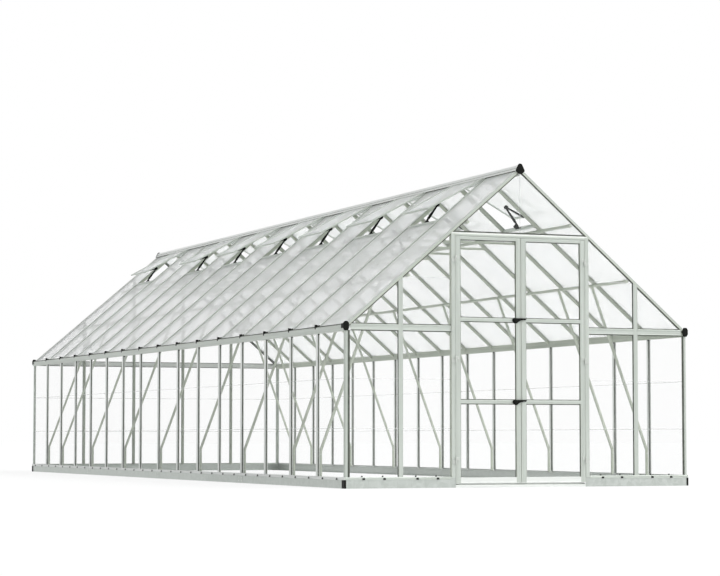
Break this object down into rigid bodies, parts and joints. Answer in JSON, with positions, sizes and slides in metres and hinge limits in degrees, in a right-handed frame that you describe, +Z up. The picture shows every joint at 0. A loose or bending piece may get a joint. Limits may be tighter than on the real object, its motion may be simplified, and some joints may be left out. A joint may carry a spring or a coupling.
{
  "type": "greenhouse",
  "caption": "Long gabled greenhouse with clear wall panes, milky roof panels, double hinged doors in one gable and hinged roof vents held open on folding stays.",
  "frame": {"origin": "middle of the footprint, at the underside of the base", "axes": "+X across the front to the right, +Y from the door gable to the back gable, +Z up"},
  "size_m": [3.083, 9.7959, 2.608],
  "materials": {
    "aluminium": "mill, satin",
    "base_steel": "galvanised sheet",
    "black_plastic": "moulded, fine grain",
    "clear_sheet": "clear sheet",
    "milky_sheet": "twin-wall sheet, milky"
  },
  "bodies": {
    "frame": {"base_rails": "base_steel", "base_corner_covers": "black_plastic", "sill_strips": "aluminium", "base_clips": "black_plastic", "corner_posts": "aluminium", "wall_posts": "aluminium", "gable_posts": "aluminium", "gable_rails": "aluminium", "eave_beams": "aluminium", "eave_connectors": "black_plastic", "rafters": "aluminium", "rafter_end_caps": "black_plastic", "ridge_beam": "aluminium", "ridge_end_caps": "black_plastic", "purlins": "aluminium", "collar_ties": "aluminium", "knee_braces": "aluminium", "roof_panels": "milky_sheet", "wall_panes": "clear_sheet", "gable_panes": "clear_sheet", "door_surround": "aluminium", "door_threshold": "aluminium", "door_hinge_pintles": "aluminium", "vent_sills": "aluminium", "stay_brackets": "black_plastic"},
    "left_door": {"left_door_frame": "aluminium", "left_door_panes": "clear_sheet"},
    "right_door": {"right_door_frame": "aluminium", "right_door_panes": "clear_sheet", "latch_keepers": "black_plastic"},
    "upper_latch": {"upper_latch_handle": "black_plastic"},
    "lower_latch": {"lower_latch_handle": "black_plastic"},
    "left_vent_1": {"left_vent_flap_1": "milky_sheet"},
    "left_stay_1": {"left_vent_stay_1": "black_plastic"},
    "left_vent_2": {"left_vent_flap_2": "milky_sheet"},
    "left_stay_2": {"left_vent_stay_2": "black_plastic"},
    "left_vent_3": {"left_vent_flap_3": "milky_sheet"},
    "left_stay_3": {"left_vent_stay_3": "black_plastic"},
    "left_vent_4": {"left_vent_flap_4": "milky_sheet"},
    "left_stay_4": {"left_vent_stay_4": "black_plastic"},
    "left_vent_5": {"left_vent_flap_5": "milky_sheet"},
    "left_stay_5": {"left_vent_stay_5": "black_plastic"},
    "left_vent_6": {"left_vent_flap_6": "milky_sheet"},
    "left_stay_6": {"left_vent_stay_6": "black_plastic"},
    "left_vent_7": {"left_vent_flap_7": "milky_sheet"},
    "left_stay_7": {"left_vent_stay_7": "black_plastic"},
    "right_vent_1": {"right_vent_flap_1": "milky_sheet"},
    "right_stay_1": {"right_vent_stay_1": "black_plastic"},
    "right_vent_2": {"right_vent_flap_2": "milky_sheet"},
    "right_stay_2": {"right_vent_stay_2": "black_plastic"},
    "right_vent_3": {"right_vent_flap_3": "milky_sheet"},
    "right_stay_3": {"right_vent_stay_3": "black_plastic"},
    "right_vent_4": {"right_vent_flap_4": "milky_sheet"},
    "right_stay_4": {"right_vent_stay_4": "black_plastic"},
    "right_vent_5": {"right_vent_flap_5": "milky_sheet"},
    "right_stay_5": {"right_vent_stay_5": "black_plastic"},
    "right_vent_6": {"right_vent_flap_6": "milky_sheet"},
    "right_stay_6": {"right_vent_stay_6": "black_plastic"},
    "right_vent_7": {"right_vent_flap_7": "milky_sheet"},
    "right_stay_7": {"right_vent_stay_7": "black_plastic"}
  },
  "joints": [
    {"name": "left_door_hinge", "type": "hinge", "parent": "frame", "child": "left_door", "pos_m": [-0.579, -4.8948, 1.018], "axis": [0, 0, -1], "range_deg": [0, 165]},
    {"name": "right_door_hinge", "type": "hinge", "parent": "frame", "child": "right_door", "pos_m": [0.579, -4.8948, 1.018], "axis": [0, 0, 1], "range_deg": [0, 165]},
    {"name": "upper_latch_turn", "type": "hinge", "parent": "left_door", "child": "upper_latch", "pos_m": [-0.057, -4.888, 1.337], "axis": [0, -1, 0], "range_deg": [0, 90]},
    {"name": "lower_latch_turn", "type": "hinge", "parent": "left_door", "child": "lower_latch", "pos_m": [-0.057, -4.888, 0.681], "axis": [0, -1, 0], "range_deg": [0, 90]},
    {"name": "left_vent_1_hinge", "type": "hinge", "parent": "frame", "child": "left_vent_1", "pos_m": [-0.04203, -3.965, 2.54694], "axis": [0, 1, 0], "range_deg": [-12, 0]},
    {"name": "left_stay_1_elbow", "type": "hinge", "parent": "left_vent_1", "child": "left_stay_1", "pos_m": [-0.31786, -3.965, 2.34861], "axis": [0, 1, 0], "range_deg": [0, 33.6]},
    {"name": "left_vent_2_hinge", "type": "hinge", "parent": "frame", "child": "left_vent_2", "pos_m": [-0.04203, -2.745, 2.54694], "axis": [0, 1, 0], "range_deg": [-12, 0]},
    {"name": "left_stay_2_elbow", "type": "hinge", "parent": "left_vent_2", "child": "left_stay_2", "pos_m": [-0.31786, -2.745, 2.34861], "axis": [0, 1, 0], "range_deg": [0, 33.6]},
    {"name": "left_vent_3_hinge", "type": "hinge", "parent": "frame", "child": "left_vent_3", "pos_m": [-0.04203, -1.525, 2.54694], "axis": [0, 1, 0], "range_deg": [-12, 0]},
    {"name": "left_stay_3_elbow", "type": "hinge", "parent": "left_vent_3", "child": "left_stay_3", "pos_m": [-0.31786, -1.525, 2.34861], "axis": [0, 1, 0], "range_deg": [0, 33.6]},
    {"name": "left_vent_4_hinge", "type": "hinge", "parent": "frame", "child": "left_vent_4", "pos_m": [-0.04203, -0.305, 2.54694], "axis": [0, 1, 0], "range_deg": [-12, 0]},
    {"name": "left_stay_4_elbow", "type": "hinge", "parent": "left_vent_4", "child": "left_stay_4", "pos_m": [-0.31786, -0.305, 2.34861], "axis": [0, 1, 0], "range_deg": [0, 33.6]},
    {"name": "left_vent_5_hinge", "type": "hinge", "parent": "frame", "child": "left_vent_5", "pos_m": [-0.04203, 0.915, 2.54694], "axis": [0, 1, 0], "range_deg": [-12, 0]},
    {"name": "left_stay_5_elbow", "type": "hinge", "parent": "left_vent_5", "child": "left_stay_5", "pos_m": [-0.31786, 0.915, 2.34861], "axis": [0, 1, 0], "range_deg": [0, 33.6]},
    {"name": "left_vent_6_hinge", "type": "hinge", "parent": "frame", "child": "left_vent_6", "pos_m": [-0.04203, 2.135, 2.54694], "axis": [0, 1, 0], "range_deg": [-12, 0]},
    {"name": "left_stay_6_elbow", "type": "hinge", "parent": "left_vent_6", "child": "left_stay_6", "pos_m": [-0.31786, 2.135, 2.34861], "axis": [0, 1, 0], "range_deg": [0, 33.6]},
    {"name": "left_vent_7_hinge", "type": "hinge", "parent": "frame", "child": "left_vent_7", "pos_m": [-0.04203, 3.965, 2.54694], "axis": [0, 1, 0], "range_deg": [-12, 0]},
    {"name": "left_stay_7_elbow", "type": "hinge", "parent": "left_vent_7", "child": "left_stay_7", "pos_m": [-0.31786, 3.965, 2.34861], "axis": [0, 1, 0], "range_deg": [0, 33.6]},
    {"name": "right_vent_1_hinge", "type": "hinge", "parent": "frame", "child": "right_vent_1", "pos_m": [0.04203, -3.965, 2.54694], "axis": [0, -1, 0], "range_deg": [-12, 0]},
    {"name": "right_stay_1_elbow", "type": "hinge", "parent": "right_vent_1", "child": "right_stay_1", "pos_m": [0.31786, -3.965, 2.34861], "axis": [0, -1, 0], "range_deg": [0, 33.6]},
    {"name": "right_vent_2_hinge", "type": "hinge", "parent": "frame", "child": "right_vent_2", "pos_m": [0.04203, -2.745, 2.54694], "axis": [0, -1, 0], "range_deg": [-12, 0]},
    {"name": "right_stay_2_elbow", "type": "hinge", "parent": "right_vent_2", "child": "right_stay_2", "pos_m": [0.31786, -2.745, 2.34861], "axis": [0, -1, 0], "range_deg": [0, 33.6]},
    {"name": "right_vent_3_hinge", "type": "hinge", "parent": "frame", "child": "right_vent_3", "pos_m": [0.04203, -1.525, 2.54694], "axis": [0, -1, 0], "range_deg": [-12, 0]},
    {"name": "right_stay_3_elbow", "type": "hinge", "parent": "right_vent_3", "child": "right_stay_3", "pos_m": [0.31786, -1.525, 2.34861], "axis": [0, -1, 0], "range_deg": [0, 33.6]},
    {"name": "right_vent_4_hinge", "type": "hinge", "parent": "frame", "child": "right_vent_4", "pos_m": [0.04203, -0.305, 2.54694], "axis": [0, -1, 0], "range_deg": [-12, 0]},
    {"name": "right_stay_4_elbow", "type": "hinge", "parent": "right_vent_4", "child": "right_stay_4", "pos_m": [0.31786, -0.305, 2.34861], "axis": [0, -1, 0], "range_deg": [0, 33.6]},
    {"name": "right_vent_5_hinge", "type": "hinge", "parent": "frame", "child": "right_vent_5", "pos_m": [0.04203, 0.915, 2.54694], "axis": [0, -1, 0], "range_deg": [-12, 0]},
    {"name": "right_stay_5_elbow", "type": "hinge", "parent": "right_vent_5", "child": "right_stay_5", "pos_m": [0.31786, 0.915, 2.34861], "axis": [0, -1, 0], "range_deg": [0, 33.6]},
    {"name": "right_vent_6_hinge", "type": "hinge", "parent": "frame", "child": "right_vent_6", "pos_m": [0.04203, 2.135, 2.54694], "axis": [0, -1, 0], "range_deg": [-12, 0]},
    {"name": "right_stay_6_elbow", "type": "hinge", "parent": "right_vent_6", "child": "right_stay_6", "pos_m": [0.31786, 2.135, 2.34861], "axis": [0, -1, 0], "range_deg": [0, 33.6]},
    {"name": "right_vent_7_hinge", "type": "hinge", "parent": "frame", "child": "right_vent_7", "pos_m": [0.04203, 3.965, 2.54694], "axis": [0, -1, 0], "range_deg": [-12, 0]},
    {"name": "right_stay_7_elbow", "type": "hinge", "parent": "right_vent_7", "child": "right_stay_7", "pos_m": [0.31786, 3.965, 2.34861], "axis": [0, -1, 0], "range_deg": [0, 33.6]}
  ],
  "couplings": [
    {"joint": "left_stay_1_elbow", "follows": "left_vent_1_hinge", "ratio": -2.7879},
    {"joint": "left_stay_2_elbow", "follows": "left_vent_2_hinge", "ratio": -2.7879},
    {"joint": "left_stay_3_elbow", "follows": "left_vent_3_hinge", "ratio": -2.7879},
    {"joint": "left_stay_4_elbow", "follows": "left_vent_4_hinge", "ratio": -2.7879},
    {"joint": "left_stay_5_elbow", "follows": "left_vent_5_hinge", "ratio": -2.7879},
    {"joint": "left_stay_6_elbow", "follows": "left_vent_6_hinge", "ratio": -2.7879},
    {"joint": "left_stay_7_elbow", "follows": "left_vent_7_hinge", "ratio": -2.7879},
    {"joint": "right_stay_1_elbow", "follows": "right_vent_1_hinge", "ratio": -2.7879},
    {"joint": "right_stay_2_elbow", "follows": "right_vent_2_hinge", "ratio": -2.7879},
    {"joint": "right_stay_3_elbow", "follows": "right_vent_3_hinge", "ratio": -2.7879},
    {"joint": "right_stay_4_elbow", "follows": "right_vent_4_hinge", "ratio": -2.7879},
    {"joint": "right_stay_5_elbow", "follows": "right_vent_5_hinge", "ratio": -2.7879},
    {"joint": "right_stay_6_elbow", "follows": "right_vent_6_hinge", "ratio": -2.7879},
    {"joint": "right_stay_7_elbow", "follows": "right_vent_7_hinge", "ratio": -2.7879}
  ]
}
